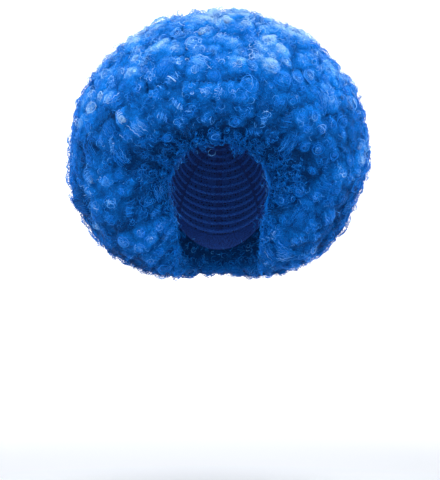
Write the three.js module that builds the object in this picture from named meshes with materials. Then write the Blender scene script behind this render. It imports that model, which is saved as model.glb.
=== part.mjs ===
// A very large afro wig of tight curls, as it sits on a head.
// Its hair is machine-made weft: strips of curled fibre sewn in rings round a stretch cap,
// from a tuft at the crown to a last ring at the hairline. Each ring's hair fans out from the cap
// and ends in round locks, which together make the ball. The face opening and the neck are where
// the last ring ends. The cap is edged with an elastic band.
//
// Millimetres and degrees, +Z up. The wearer looks along -Y, with +X at the right of a picture of them.
// The origin is the point inside the cap that rests on the top of the head.

import * as THREE from 'three';

// The head that the cap is cut for
const HEAD_HALF_WIDTH = 77;
const HEAD_HALF_LENGTH = 97;
const HEAD_TOP_TO_CENTRE = 95;
const NECK_HALF_WIDTH = 63;
const NECK_HALF_DEPTH = 58;
const NECK_SETBACK = 12;
const NAPE_BLEND = 30;

// The ball of hair
const BALL_HALF_WIDTH = 222;
const BALL_HEIGHT = 400;
const BALL_ABOVE_HEAD = 163;
const BALL_FRONT_REACH = 150;
const BALL_BACK_REACH = 245;

// The cap and its edge
const CAP_TILT = 45;
const CAP_RIM_FALL = 100;
const CAP_THICKNESS = 2;
const BAND_WIDTH = 14;
const SEWING_GAP = 0.5;
const CAP_TURNS = 40;
const CAP_STEPS = 8;

// The weft rings and their locks
const WEFT_RINGS = 6;
const CROWN_SHARE = 0.14;
const ROLL_SHARE = 0.14;
const WEFT_GAP = 2;
const WEFT_WAVE = 4;
const LOCK_PITCH = 56;
const LOCK_RELIEF = 13;
const LOCK_SWELL = 6;
const LOCK_JITTER = 0.3;
const LOCK_TURNS = 4;
const LOCK_STEPS = 4;
const CROWN_LOCKS = 6;
const CROWN_STEPS = 6;
const ROLL_STEPS = 5;
const HUG_STEPS = 2;
const ROOT_STEPS = 2;
const HAIR_EDGE = 9;

// The ball's outline from the front, by the clock: 0 up and 90 at the picture's right.
// Each share multiplies the plain ellipse of the ball's half width and half height.
const OUTLINE = [
  { clock: 0, share: 1.0 },
  { clock: 30, share: 1.005 },
  { clock: 60, share: 1.0 },
  { clock: 90, share: 1.025 },
  { clock: 120, share: 1.025 },
  { clock: 150, share: 1.09 },
  { clock: 180, share: 1.03 },
  { clock: 210, share: 1.1 },
  { clock: 240, share: 1.085 },
  { clock: 270, share: 1.005 },
  { clock: 300, share: 0.99 },
  { clock: 330, share: 0.995 },
];

// Where the hair ends round the face and neck: how far it falls from the tilted pole, by the turn
// round that pole, as shares of the cap's own rim. Turn 0 is over the forehead and 180 the nape.
const HAIR_ENDS = [
  { turn: 0, fall: 1.02 },
  { turn: 43, fall: 1.02 },
  { turn: 70, fall: 1.06 },
  { turn: 88, fall: 1.18 },
  { turn: 108, fall: 1.31 },
  { turn: 133, fall: 1.3 },
  { turn: 149, fall: 1.23 },
  { turn: 162, fall: 1.11 },
  { turn: 180, fall: 1.06 },
];

const radians = THREE.MathUtils.degToRad;
const degrees = THREE.MathUtils.radToDeg;

const headCentre = new THREE.Vector3(0, 0, -HEAD_TOP_TO_CENTRE);
const ballCentre = new THREE.Vector3(
  0,
  (BALL_BACK_REACH - BALL_FRONT_REACH) / 2,
  BALL_ABOVE_HEAD - BALL_HEIGHT / 2,
);
const ballHalf = new THREE.Vector3(
  BALL_HALF_WIDTH,
  (BALL_BACK_REACH + BALL_FRONT_REACH) / 2,
  BALL_HEIGHT / 2,
);

// The tilted pole of the cap points up and back, and the front axis up and forward
const pole = new THREE.Vector3(0, Math.sin(radians(CAP_TILT)), Math.cos(radians(CAP_TILT)));
const front = new THREE.Vector3(0, -Math.cos(radians(CAP_TILT)), Math.sin(radians(CAP_TILT)));
const side = new THREE.Vector3(1, 0, 0);

// The unit vector at a turn round the pole and a fall away from it
function towards(turn, fall) {
  const out = Math.sin(radians(fall));
  return new THREE.Vector3()
    .addScaledVector(pole, Math.cos(radians(fall)))
    .addScaledVector(front, out * Math.cos(radians(turn)))
    .addScaledVector(side, out * Math.sin(radians(turn)));
}

const pointAt = (direction, reach) => headCentre.clone().addScaledVector(direction, reach);

// A smooth curve through a table's rows, level at both of its ends
function curveOf(places, values) {
  const curve = new THREE.CubicInterpolant(places, values, 1, new Float32Array(1));
  curve.settings = { endingStart: THREE.ZeroSlopeEnding, endingEnd: THREE.ZeroSlopeEnding };
  return (place) => curve.evaluate(place)[0];
}

// The outline's table goes once and a bit round, so that the curve closes on itself
const outlineTable = [-1, 0, 1].flatMap((round) =>
  OUTLINE.map((row) => ({ clock: row.clock + 360 * round, share: row.share })),
);
const outlineCurve = curveOf(
  outlineTable.map((row) => row.clock),
  outlineTable.map((row) => row.share),
);
const hairEndCurve = curveOf(
  HAIR_ENDS.map((row) => row.turn),
  HAIR_ENDS.map((row) => row.fall),
);

const hairEnd = (turn) => CAP_RIM_FALL * hairEndCurve(Math.abs(((turn + 540) % 360) - 180));

// The fall of a share of the ball's surface. Only the lower rings follow the hairline's bends.
function ballFall(turn, share) {
  return share * THREE.MathUtils.lerp(CAP_RIM_FALL, hairEnd(turn), share ** 2);
}

// A repeatable number from 0 to 1 for a row and a place in it
const scatter = (row, place) => THREE.MathUtils.euclideanModulo(row * 0.7548777 + place * 0.5698403, 1);

// The larger of two lengths, with the corner between them rounded over a blend
function smoothMax(a, b, blend) {
  const near = Math.max(blend - Math.abs(a - b), 0);
  return Math.max(a, b) + near ** 2 / (4 * blend);
}

// The distance from the head's centre to its skin
function skullReach(d) {
  return 1 / Math.hypot(d.x / HEAD_HALF_WIDTH, d.y / HEAD_HALF_LENGTH, d.z / HEAD_TOP_TO_CENTRE);
}

// The distance from the head's centre to the skin of the neck, an upright oval column
function neckReach(d) {
  const a = (d.x / NECK_HALF_WIDTH) ** 2 + (d.y / NECK_HALF_DEPTH) ** 2;
  const b = (-2 * NECK_SETBACK * d.y) / NECK_HALF_DEPTH ** 2;
  const c = (NECK_SETBACK / NECK_HALF_DEPTH) ** 2 - 1;
  return (-b + Math.sqrt(b * b - 4 * a * c)) / (2 * a);
}

// The neck takes part only below the head's centre, and its blend with the head grows downwards
function skinReach(d) {
  if (d.z >= 0) return skullReach(d);
  return smoothMax(skullReach(d), neckReach(d), NAPE_BLEND * Math.min(1, -2 * d.z));
}

// How far out of the ball a point lies: under 1 inside it and over 1 outside
function outOfBall(point) {
  const offset = point.clone().sub(ballCentre).divide(ballHalf);
  const clock = (degrees(Math.atan2(offset.x, offset.z)) + 360) % 360;
  const sideways = (offset.x ** 2 + offset.z ** 2) / offset.lengthSq();
  return offset.length() / (1 + (outlineCurve(clock) - 1) * sideways);
}

// The distance from the head's centre to the ball's surface, found by halving
function ballReach(d) {
  let inside = 0;
  let outside = 2 * ballHalf.length();
  for (let halving = 0; halving < 40; halving += 1) {
    const middle = (inside + outside) / 2;
    if (outOfBall(pointAt(d, middle)) < 1) inside = middle;
    else outside = middle;
  }
  return outside;
}

// Where the hair starts: on the cap or its band, or past the rim against the skin
const rootReach = (d) => skinReach(d) + CAP_THICKNESS + SEWING_GAP;

// The two triangles of a four-sided facet, split along its shorter diagonal, so that neighbouring
// walls split alike
function facet(points, a, b, c, d) {
  const acrossAC = points[a].distanceTo(points[c]) < points[b].distanceTo(points[d]);
  return acrossAC ? [a, b, c, a, c, d] : [b, c, d, b, d, a];
}

// A closed solid from sections that each go round a closed loop of points
function loopedSolid(sections) {
  const along = sections[0].length;
  const points = sections.flat();
  const index = [];
  sections.forEach((_, j) => {
    const here = j * along;
    const next = ((j + 1) % sections.length) * along;
    for (let i = 0; i < along; i += 1) {
      const after = (i + 1) % along;
      index.push(...facet(points, here + i, here + after, next + after, next + i));
    }
  });
  return solidFrom(points, index);
}

// A closed solid from sections that each run from a first pole to a last one, both shared by all
function domedSolid(firstPole, sections, lastPole) {
  const along = sections[0].length;
  const points = [...sections.flat(), firstPole, lastPole];
  const first = points.length - 2;
  const last = points.length - 1;
  const index = [];
  sections.forEach((_, j) => {
    const here = j * along;
    const next = ((j + 1) % sections.length) * along;
    index.push(first, here, next);
    for (let i = 0; i < along - 1; i += 1) {
      index.push(...facet(points, here + i, here + i + 1, next + i + 1, next + i));
    }
    index.push(last, next + along - 1, here + along - 1);
  });
  return solidFrom(points, index);
}

function solidFrom(points, index) {
  const geometry = new THREE.BufferGeometry().setFromPoints(points);
  geometry.setIndex(index);
  geometry.computeVertexNormals();
  return geometry;
}

const netMaterial = new THREE.MeshStandardMaterial({ color: 0x12388f, roughness: 0.9, metalness: 0 });
const bandMaterial = new THREE.MeshStandardMaterial({ color: 0x0d2a70, roughness: 0.8, metalness: 0 });
const hairMaterial = new THREE.MeshStandardMaterial({ color: 0x0f63d8, roughness: 0.55, metalness: 0 });

function namedMesh(name, geometry, material) {
  const mesh = new THREE.Mesh(geometry, material);
  mesh.name = name;
  return mesh;
}

// The fall at which the band takes over from the net, its width above the rim
const bandFall = CAP_RIM_FALL - degrees(BAND_WIDTH / HEAD_TOP_TO_CENTRE);

// Points on a shell over the skin, from one fall to another
function shellLine(turn, fromFall, toFall, height, steps) {
  return Array.from({ length: steps + 1 }, (_, i) => {
    const d = towards(turn, THREE.MathUtils.lerp(fromFall, toFall, i / steps));
    return pointAt(d, skinReach(d) + height);
  });
}

function capNet() {
  const lastFall = bandFall - degrees(SEWING_GAP / HEAD_TOP_TO_CENTRE);
  const firstFall = lastFall / CAP_STEPS;
  const sections = Array.from({ length: CAP_TURNS }, (_, j) => {
    const turn = (360 * j) / CAP_TURNS;
    return [
      ...shellLine(turn, firstFall, lastFall, CAP_THICKNESS, CAP_STEPS - 1),
      ...shellLine(turn, lastFall, firstFall, 0, CAP_STEPS - 1),
    ];
  });
  const top = pointAt(pole, skinReach(pole) + CAP_THICKNESS);
  const under = pointAt(pole, skinReach(pole));
  return namedMesh('cap_net', domedSolid(top, sections, under), netMaterial);
}

function edgeBand() {
  const sections = Array.from({ length: CAP_TURNS }, (_, j) => {
    const turn = (360 * j) / CAP_TURNS;
    return [
      ...shellLine(turn, bandFall, CAP_RIM_FALL, CAP_THICKNESS, 2),
      ...shellLine(turn, CAP_RIM_FALL, bandFall, 0, 2),
    ];
  });
  return namedMesh('edge_band', loopedSolid(sections), bandMaterial);
}

// A rounded hump from 0 at both ends to 1 in the middle
const hump = (t) => Math.sin(Math.PI * THREE.MathUtils.clamp(t, 0, 1)) ** 0.7;

// The border between two rings, as a share of the way from pole to hair's end. It waves a little.
function border(number) {
  const plain =
    CROWN_SHARE + ((1 - ROLL_SHARE - CROWN_SHARE) * (number - 1)) / WEFT_RINGS;
  const waves = 2 + number;
  const height = degrees(WEFT_WAVE / BALL_HALF_WIDTH) / CAP_RIM_FALL;
  return (turn) => plain + height * Math.sin(radians(turn * waves + 360 * scatter(number, 0)));
}

// A point on a ring's border wall, half a gap to one side of the border itself
function borderPoint(turn, share, sign, outer, relief) {
  const fall = outer ? ballFall(turn, share) : share * CAP_RIM_FALL;
  const reach = (d) => (outer ? ballReach(d) + relief : rootReach(d));
  const gapFall = degrees(WEFT_GAP / 2 / reach(towards(turn, fall)));
  const d = towards(turn, fall + sign * gapFall);
  return pointAt(d, reach(d));
}

// Points along the cap under a ring, from one border to another
function rootLine(turn, fromShare, toShare, fromSign, toSign) {
  const points = [borderPoint(turn, fromShare, fromSign, false, 0)];
  for (let i = 1; i < ROOT_STEPS; i += 1) {
    const d = towards(turn, CAP_RIM_FALL * THREE.MathUtils.lerp(fromShare, toShare, i / ROOT_STEPS));
    points.push(pointAt(d, rootReach(d)));
  }
  if (toShare > 0) points.push(borderPoint(turn, toShare, toSign, false, 0));
  return points;
}

// How many locks of the named pitch fit round a ring
function locksRound(share) {
  const ring = Array.from({ length: 24 }, (_, j) => {
    const d = towards(15 * j, ballFall(15 * j, share));
    return pointAt(d, ballReach(d));
  });
  const length = ring.reduce((sum, point, j) => sum + point.distanceTo(ring[(j + 1) % 24]), 0);
  return Math.max(3, Math.round(length / LOCK_PITCH));
}

// The turns of a ring's sections. Each lock is a few sections wide, and its width varies.
function lockTurns(number, locks) {
  const startOf = (i) => (360 / locks) * (i + LOCK_JITTER * (scatter(number, i % locks) - 0.5));
  const turns = [];
  for (let i = 0; i < locks; i += 1) {
    for (let k = 0; k < LOCK_TURNS; k += 1) {
      const u = k / LOCK_TURNS;
      turns.push({ turn: THREE.MathUtils.lerp(startOf(i), startOf(i + 1), u), u, lock: i });
    }
  }
  return turns;
}

// How far a lock stands out of the ball's plain surface, or falls short of it in the creases
function lockHeight(number, lock, u, v) {
  const swell = LOCK_SWELL * (2 * scatter(number + 0.5, lock) - 1);
  return LOCK_RELIEF * (hump(u) * hump(v) - 0.6) + swell * hump(u) * hump(v);
}

// A ring of locks between two borders
function weftRing(number) {
  const upper = border(number);
  const lower = border(number + 1);
  const locks = locksRound((upper(0) + lower(0)) / 2);
  const sections = lockTurns(number, locks).map(({ turn, u, lock }) => {
    const creaseTop = lockHeight(number, lock, u, 0);
    const outer = [borderPoint(turn, upper(turn), 1, true, creaseTop)];
    for (let i = 1; i < LOCK_STEPS; i += 1) {
      const v = i / LOCK_STEPS;
      const share = THREE.MathUtils.lerp(upper(turn), lower(turn), v);
      const d = towards(turn, ballFall(turn, share));
      outer.push(pointAt(d, ballReach(d) + lockHeight(number, lock, u, v)));
    }
    outer.push(borderPoint(turn, lower(turn), -1, true, creaseTop));
    return [...outer, ...rootLine(turn, lower(turn), upper(turn), -1, 1)];
  });
  return namedMesh(`weft_ring_${number}`, loopedSolid(sections), hairMaterial);
}

// The tuft at the crown: one lock in the middle and a ring of locks round it
function crownTuft() {
  const lower = border(1);
  const middle = 0.4;
  const heightAt = (lock, u, v) =>
    Math.max(
      lockHeight(0, CROWN_LOCKS, 0.5, 0.5 + v / middle / 2),
      lockHeight(0, lock, u, (v - middle / 2) / (1 - middle / 2)),
    );
  const sections = lockTurns(0, CROWN_LOCKS).map(({ turn, u, lock }) => {
    const outer = [];
    for (let i = 1; i < CROWN_STEPS; i += 1) {
      const v = i / CROWN_STEPS;
      const d = towards(turn, ballFall(turn, v * lower(turn)));
      outer.push(pointAt(d, ballReach(d) + heightAt(lock, u, v)));
    }
    return [
      ...outer,
      borderPoint(turn, lower(turn), -1, true, heightAt(lock, u, 1)),
      ...rootLine(turn, lower(turn), 0, -1, 0),
    ];
  });
  const top = pointAt(pole, ballReach(pole) + heightAt(0, 0, 0));
  const under = pointAt(pole, rootReach(pole));
  return namedMesh('crown_tuft', domedSolid(top, sections, under), hairMaterial);
}

// The last ring: its hair rolls in from the ball to the hairline, and lies against the skin
function hairlineRing() {
  const number = WEFT_RINGS + 1;
  const upper = border(number);
  const locks = locksRound(1 - ROLL_SHARE / 2);
  const sections = lockTurns(number, locks).map(({ turn, u, lock }) => {
    const start = upper(turn);
    const end = hairEnd(turn);
    const outer = [borderPoint(turn, start, 1, true, lockHeight(number, lock, u, 0))];
    for (let i = 1; i <= ROLL_STEPS; i += 1) {
      const quarter = (Math.PI / 2) * (i / ROLL_STEPS);
      const d = towards(turn, ballFall(turn, THREE.MathUtils.lerp(start, 1, Math.sin(quarter))));
      const root = Math.min(rootReach(d), ballReach(d) - HAIR_EDGE);
      const depth = ballReach(d) - root - HAIR_EDGE;
      const roll = Math.cos(quarter) ** 0.65;
      const height = lockHeight(number, lock, u, i / ROLL_STEPS) * Math.min(1, depth / LOCK_PITCH);
      outer.push(pointAt(d, root + HAIR_EDGE + (depth + height) * roll));
    }
    const hugging = [];
    for (let i = 0; i < HUG_STEPS; i += 1) {
      const d = towards(turn, THREE.MathUtils.lerp(end, CAP_RIM_FALL, i / HUG_STEPS));
      hugging.push(pointAt(d, Math.min(rootReach(d), ballReach(d) - HAIR_EDGE)));
    }
    const rim = towards(turn, CAP_RIM_FALL);
    const underCap = [pointAt(rim, rootReach(rim))];
    for (let i = 1; i < ROOT_STEPS; i += 1) {
      const d = towards(turn, CAP_RIM_FALL * THREE.MathUtils.lerp(1, start, i / ROOT_STEPS));
      underCap.push(pointAt(d, rootReach(d)));
    }
    return [...outer, ...hugging, ...underCap, borderPoint(turn, start, 1, false, 0)];
  });
  return namedMesh('hairline_ring', loopedSolid(sections), hairMaterial);
}

const wig = new THREE.Group();
wig.add(capNet(), edgeBand(), crownTuft());
for (let number = 1; number <= WEFT_RINGS; number += 1) wig.add(weftRing(number));
wig.add(hairlineRing());

export default wig;
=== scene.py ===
import math

import bpy
import bmesh
import numpy as np
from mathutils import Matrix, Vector
from mathutils.bvhtree import BVHTree


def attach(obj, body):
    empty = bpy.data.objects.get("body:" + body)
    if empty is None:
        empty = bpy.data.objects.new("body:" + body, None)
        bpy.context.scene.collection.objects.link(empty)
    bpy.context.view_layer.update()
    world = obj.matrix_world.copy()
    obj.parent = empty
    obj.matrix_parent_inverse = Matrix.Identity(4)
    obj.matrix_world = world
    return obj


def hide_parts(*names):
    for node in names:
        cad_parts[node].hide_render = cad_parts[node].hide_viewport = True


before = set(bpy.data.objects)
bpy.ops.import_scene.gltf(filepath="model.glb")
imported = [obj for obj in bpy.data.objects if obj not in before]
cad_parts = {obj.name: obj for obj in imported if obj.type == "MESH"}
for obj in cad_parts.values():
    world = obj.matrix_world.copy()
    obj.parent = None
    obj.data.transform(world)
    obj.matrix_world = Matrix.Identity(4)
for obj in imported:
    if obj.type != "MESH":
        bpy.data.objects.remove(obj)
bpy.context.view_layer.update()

# Metres and radians, in the same frame as the solids: +Z up, and the front along -Y.
MM = 0.001

# The middle of the cap's hollow, which the hair fans out from, how far the cap lies from it, and
# the cap's pole, tilted back from the top
CAP_RADIUS = 95 * MM
CAP_CENTRE = np.array([0.0, 0.0, -CAP_RADIUS])
POLE = np.array([0.0, math.sin(math.radians(45)), math.cos(math.radians(45))])

WEFT_RINGS = [f"weft_ring_{number}" for number in range(1, 7)]
HAIR_NODES = ["crown_tuft", *WEFT_RINGS, "hairline_ring"]

# The curls' own sizes, read from the photo
CLUSTER_SPACING = 21.5 * MM
SPACING_RANGE = (0.72, 1.34)
RINGLET_RADIUS = (7 * MM, 15 * MM)
TUFT_RADIUS = (8 * MM, 14 * MM)
TUFT_CURL = (2.5 * MM, 6 * MM)
COIL_RADIUS = (4.5 * MM, 7.5 * MM)
COIL_LENGTH = (20 * MM, 34 * MM)
CRIMP_LENGTH = (24 * MM, 38 * MM)
CRIMP_WAVE = 8 * MM
CRIMP_GAP = 1.6 * MM
LOOP_RADIUS = (2.5 * MM, 6.5 * MM)
WISP_LENGTH = (3 * MM, 6.5 * MM)
STRAND_RADIUS = 0.36 * MM
RINGLET_STRAND_RADIUS = 0.46 * MM
WISP_RADIUS = 0.25 * MM
TURN_PITCH = 2.6 * MM
CUSHION_DEPTH = 7 * MM
CUSHION_EDGE = 8 * MM

# Shares of the clusters that are ringlets seen end on, coils seen from the side, crimped strands
# side by side and tufts of small curls
SHARES = (0.34, 0.1, 0.14, 0.42)

# The seed of all random draws, the places that are tried for clusters, and a power over 1 that
# makes small clusters the commoner ones
SEED = 59
SEAM_TRIES = 2000
TRIES = 9000
SMALLER = 1.2

# How many strands a cluster has, how many single curls there are, and the sides of a strand's
# closed tube and the steps along it
RINGLET_STRANDS = 14
TUFT_STRANDS = 16
COIL_ARCS = 10
CRIMP_STRANDS = 13
LOOPS = 2100
WISPS = 2400
NAPE_CLUSTERS = 90
NAPE_STRANDS = 6
NAPE_LOOPS = 700
SIDES = 3
STEPS = {"ringlet": 8, "coil": 6, "loop": 6, "crimp": 9, "nape": 10, "wisp": 4}

# How deep curls start under the surface, and how far they stray from their place
CORE_DEPTH = 0.8
ROOT_DEPTH = 2 * MM
LOOP_DEPTH = 7 * MM
SEAM_STRAY = 3 * MM
NAPE_STRAY = 5 * MM
CRIMP_CROWN = 4 * MM
NAPE_CROWN = 1 * MM

# How wide and how high a ringlet's core is, and a coil's, beside the curls round it
BALL_CORE_SIZE = np.array([0.78, 0.78, 0.64])
COIL_CORE_SIZE = 0.8

# A triangle with hair nearer than this in front of it is a wall between two rings, and one that
# faces the cap's hollow more squarely than this is the hair's inside
NEXT_RING = 3 * MM
FACES_HOLLOW = -0.55

# The reach that curls' directions are averaged over, and that of the ball's plain surface
CURL_REACH = 16 * MM
BALL_REACH = 38 * MM

# Hair this far from the inside hangs quite loose
LOOSE_REACH = 40 * MM

# Hair that lies deeper than this beside its neighbours is a seam between rings, and the cushions
# spread towards each other there
SEAM_DEPTH = 4.5 * MM
SEAM_LOOSENESS = 0.5
SEAM_SPREAD = 8 * MM
SEAM_LOOPS = 1500

# The shares of the hollows between locks that curls fill and of the locks' tops that they press
# flat, each up to a depth, and how far a long strand bends over the ball
HOLLOW_FILL = 1.0
HOLLOW_DEPTH = 30 * MM
TOP_PRESS = 0.7
TOP_HEIGHT = 12 * MM
SPRING = 3 * MM
BEND_RADIUS = 50 * MM

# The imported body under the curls: how near to the outside it is cut fine, how deep its outer part
# goes and how soon that moves in full, each cluster's dome, and how far the lining holds it still
CUSHION_FINE = 16 * MM
CUSHION_REACH = 24 * MM
CUSHION_FIRM = 1.6
DOME_RADIUS = 14 * MM
DOME_RISE = 0.7
LINING_CLEAR = 25 * MM

# How light hair is painted: painted light where it stands proud or faces up, and painted shade in
# hollows, where it faces down and near the inside
BASE_SHADE = 0.05
PROUD_SHADE = 0.15
PROUD_REACH = 9 * MM
INSIDE_SHADE = 0.05
INSIDE_REACH = 45 * MM
UPWARD_SHADE = 0.34
DOWNWARD_SHADE = 0.15

# The tone of each kind of hair and of the thread, what curls add to their cluster's tone, and how much
# a dome of the imported body takes of it. The cushion and the cores are darker than the curls over
# them, as painted shade.
TONES = {"cluster": 0.5, "loop": 0.52, "seam": 0.55, "wisp": 0.55, "rim": 0.44, "nape": 0.45,
         "nape_loop": 0.5, "cushion": 0.38, "thread": 0.7}
ADDED_TONES = {"ringlet": 0.02, "ringlet_core": -0.12, "coil": 0.04, "coil_core": -0.1,
               "tuft": 0.03}
DOME_TONE = 0.5
DOME_LEVEL = 0.45

# Lighter and darker patches of hair, which wander over the ball
PATCH_WIDTH = 45 * MM
PATCH_SHADE = 0.1
PATCH_WAVES = 9

# How much painted light curls get where they stand proud of their cluster's middle, and painted shade
# below it, and how unlike each other clusters and the strands of one cluster are
TIP_SHADE = 0.15
TIP_REACH = 9 * MM
CLUSTER_SPREAD = 0.09
STRAND_SPREAD = 0.05

# The share of strands that get a painted highlight, and how much lighter it makes them
BRIGHT_SHARE = 0.08
BRIGHT = 0.22

# The rim of the opening, front and back, where loose curls cover the hair's edge
RIM_WIDTH = 22 * MM
RIM_LOOPS = 1150

# The cap's sewn parts
CAP_TURNS = 96
NET_STEPS = 30
CAP_THICKNESS = 2 * MM
WEFT_FALLS = range(12, 90, 7)
WEFT_WIDTH = 4.5 * MM
WEFT_THICKNESS = 1.0 * MM
STITCHES = 160
STITCH_REACH = 1.0
THREAD_RADIUS = 0.4 * MM
STRAPS = 8
STRAP_WIDTH = 10 * MM
BAND_RIBS = 5
RIB_DEPTH = 0.7 * MM
THREAD_PROUD = 0.2 * MM

# The heights of a tape's and a strap's two faces over the inside of the cap
TAPE_BACK = 0.4 * MM
STRAP_FACES = (0.3 * MM, -0.9 * MM)

# How far round from the pole the net and the edge band of the cap reach, in degrees
NET_FALLS = (0.05, 91.25)
BAND_FALLS = (91.56, 100)
STRAP_FALLS = (3, 90)
STRAP_STEPS = 24


def linear(colour):
    """An sRGB hex colour as linear RGBA."""
    parts = [int(colour[i:i + 2], 16) / 255 for i in (1, 3, 5)]
    return (*[c / 12.92 if c <= 0.04045 else ((c + 0.055) / 1.055) ** 2.4 for c in parts], 1.0)


def unit(vectors):
    """The rows of an array, each at length 1."""
    return vectors / np.maximum(np.linalg.norm(vectors, axis=-1, keepdims=True), 1e-12)


def across(normals, along):
    """The part of each along that is square to its normal, at length 1, and a third vector."""
    first = unit(along - normals * np.sum(along * normals, axis=-1, keepdims=True))
    return first, np.cross(normals, first)


def sized(limits, share):
    """A size between two limits for each share."""
    return limits[0] + (limits[1] - limits[0]) * share


def falls_of(points):
    """How far round from the cap's pole points are, in degrees."""
    return np.degrees(np.arccos(np.clip(unit(points - CAP_CENTRE) @ POLE, -1, 1)))


# Reading the solids

def triangles_of(name):
    """The corners of a node's triangles, as an array of triangle, corner and axis."""
    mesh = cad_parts[name].data
    mesh.calc_loop_triangles()
    points = np.empty(len(mesh.vertices) * 3)
    mesh.vertices.foreach_get("co", points)
    corners = np.empty(len(mesh.loop_triangles) * 3, dtype=np.int32)
    mesh.loop_triangles.foreach_get("vertices", corners)
    return points.reshape(-1, 3)[corners].reshape(-1, 3, 3)


def ray_tree(corners):
    """Triangles that rays can be cast at."""
    points = [Vector(point) for point in corners.reshape(-1, 3)]
    faces = [(3 * i, 3 * i + 1, 3 * i + 2) for i in range(len(corners))]
    return BVHTree.FromPolygons(points, faces)


class HairSurface:
    """The outside of the hair: the triangles that face neither the next ring nor the hollow."""

    def __init__(self):
        corners = [triangles_of(name) for name in HAIR_NODES]
        owner = np.repeat(np.arange(len(HAIR_NODES)), [len(c) for c in corners])
        corners = np.concatenate(corners)
        self.tree = ray_tree(corners)
        middle = corners.mean(axis=1)
        crossed = np.cross(corners[:, 1] - corners[:, 0], corners[:, 2] - corners[:, 0])
        normal = unit(crossed)
        outwards = unit(middle - CAP_CENTRE)
        shows = np.array([self.is_open(m, n) for m, n in zip(middle, normal)])
        faces_hollow = np.sum(normal * outwards, axis=1) < FACES_HOLLOW
        hugging = shows & faces_hollow & (falls_of(middle) > BAND_FALLS[1] + 1)
        self.inside = middle[hugging]
        self.inside_normal = normal[hugging]
        self.inside_owner = owner[hugging]
        shows &= ~faces_hollow
        self.corners = corners[shows]
        self.owner = owner[shows]
        self.middle = middle[shows]
        self.normal = normal[shows]
        self.area = np.linalg.norm(crossed[shows], axis=1) / 2
        self.around, _ = self.smooth(CURL_REACH)
        self.outwards, average = self.smooth(BALL_REACH)
        proud = np.sum((self.middle - average) * self.outwards, axis=1)
        self.level = average + self.outwards * np.median(proud)
        proud -= np.median(proud)
        edge = np.array([gaps(self.inside, m).min() for m in self.middle])
        self.loose = np.clip(edge / LOOSE_REACH, 0, 1)
        self.rim = np.flatnonzero(edge < RIM_WIDTH)
        upwards = self.around[:, 2]
        # Painted light and shade: lighter on the locks' tops and facing up, darker in hollows, facing
        # down and near the inside
        self.shade = (PROUD_SHADE * np.clip(proud / PROUD_REACH, -1, 1)
                      - INSIDE_SHADE * np.exp(-edge / INSIDE_REACH) + BASE_SHADE
                      + UPWARD_SHADE * np.maximum(upwards, 0)
                      + DOWNWARD_SHADE * np.minimum(upwards, 0))
        self.seams = np.flatnonzero((proud < -SEAM_DEPTH) & (self.loose > SEAM_LOOSENESS))

    def is_open(self, middle, normal):
        """Whether the triangle has no other ring's wall close in front of it."""
        start = Vector(middle + normal * 0.2 * MM)
        return self.tree.ray_cast(start, Vector(normal), NEXT_RING)[0] is None

    def evened(self, places, on):
        """How far places near the surface move out of hollows, or down from the locks' tops."""
        proud = np.sum((places - self.level[on]) * self.outwards[on], axis=1)
        filled = HOLLOW_FILL * np.clip(-proud, 0, HOLLOW_DEPTH)
        pressed = TOP_PRESS * np.clip(proud, 0, TOP_HEIGHT)
        return self.outwards[on] * ((SPRING + filled - pressed) * self.loose[on])[:, None]

    def smooth(self, reach):
        """The normals and the middles of the triangles, each averaged over a reach."""
        around = np.empty_like(self.middle)
        average = np.empty_like(self.middle)
        for i, place in enumerate(self.middle):
            gap = np.sum((self.middle - place) ** 2, axis=1)
            weight = self.area * np.exp(-gap / reach ** 2)
            around[i] = weight @ self.normal
            average[i] = weight @ self.middle / weight.sum()
        return unit(around), average

    def scatter(self, rng, count, among=slice(None)):
        """Random places on the surface or on a part of it, and the triangles that they are on."""
        area = self.area[among]
        chosen = np.arange(len(self.area))[among][rng.choice(len(area), count, p=area / area.sum())]
        share = rng.dirichlet((1, 1, 1), size=count)
        places = np.einsum("nk,nkj->nj", share, self.corners[chosen])
        return places + self.evened(places, chosen), chosen


def patches(rng, places):
    """How light the wandering patches are at each place, about -1 to 1."""
    waves = unit(rng.normal(size=(PATCH_WAVES, 3))) * math.pi / PATCH_WIDTH
    phases = rng.uniform(0, 2 * math.pi, PATCH_WAVES)
    return np.sin(places @ waves.T + phases).sum(axis=1) * math.sqrt(2 / PATCH_WAVES) / 2


def gaps(places, point):
    """How far each of many places is from a point."""
    return np.linalg.norm(places - np.array(point), axis=1)


def spread_out(places, spacing):
    """The places kept when none may lie nearer to an earlier one than its own spacing."""
    kept = []
    for i, place in enumerate(places):
        if not kept or gaps(places[kept], place).min() > spacing[i]:
            kept.append(i)
    return np.array(kept)


# Strands and cores as joined meshes

class Lots:
    """Like pieces gathered ring by ring, to be joined in one mesh for each ring."""

    def __init__(self):
        self.lots = []

    def add(self, points, faces, corners, values, owner):
        """Pieces of one form: points and values by piece, and the faces and the bake map's corners
        that all of them share."""
        self.lots.append((points, np.array(faces), np.array(corners), values, owner))

    def of_node(self, node):
        """The points, faces, values and bake map of all pieces of one node. On the map each piece
        has its own square cell."""
        columns = math.ceil(math.sqrt(sum((lot[4] == node).sum() for lot in self.lots)))
        points, index, maps = [], [], []
        values = {title: [] for title in self.lots[0][3]}
        first_point = first_piece = 0
        for made, faces, corners, held, owner in self.lots:
            mine = owner == node
            count, size = mine.sum(), made.shape[1]
            starts = first_point + np.arange(count) * size
            cells = first_piece + np.arange(count)
            cells = np.stack([cells % columns, cells // columns], axis=1)
            points.append(made[mine].reshape(-1, 3))
            index.append((faces + starts[:, None, None]).reshape(-1, 3))
            maps.append(((corners + cells[:, None, :]) / columns).reshape(-1, 2))
            for title, value in held.items():
                values[title].append(value[mine].reshape(-1, *value.shape[2:]))
            first_point += count * size
            first_piece += count
        values = {title: np.concatenate(value) for title, value in values.items()}
        return np.concatenate(points), np.concatenate(index), values, np.concatenate(maps)


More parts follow.
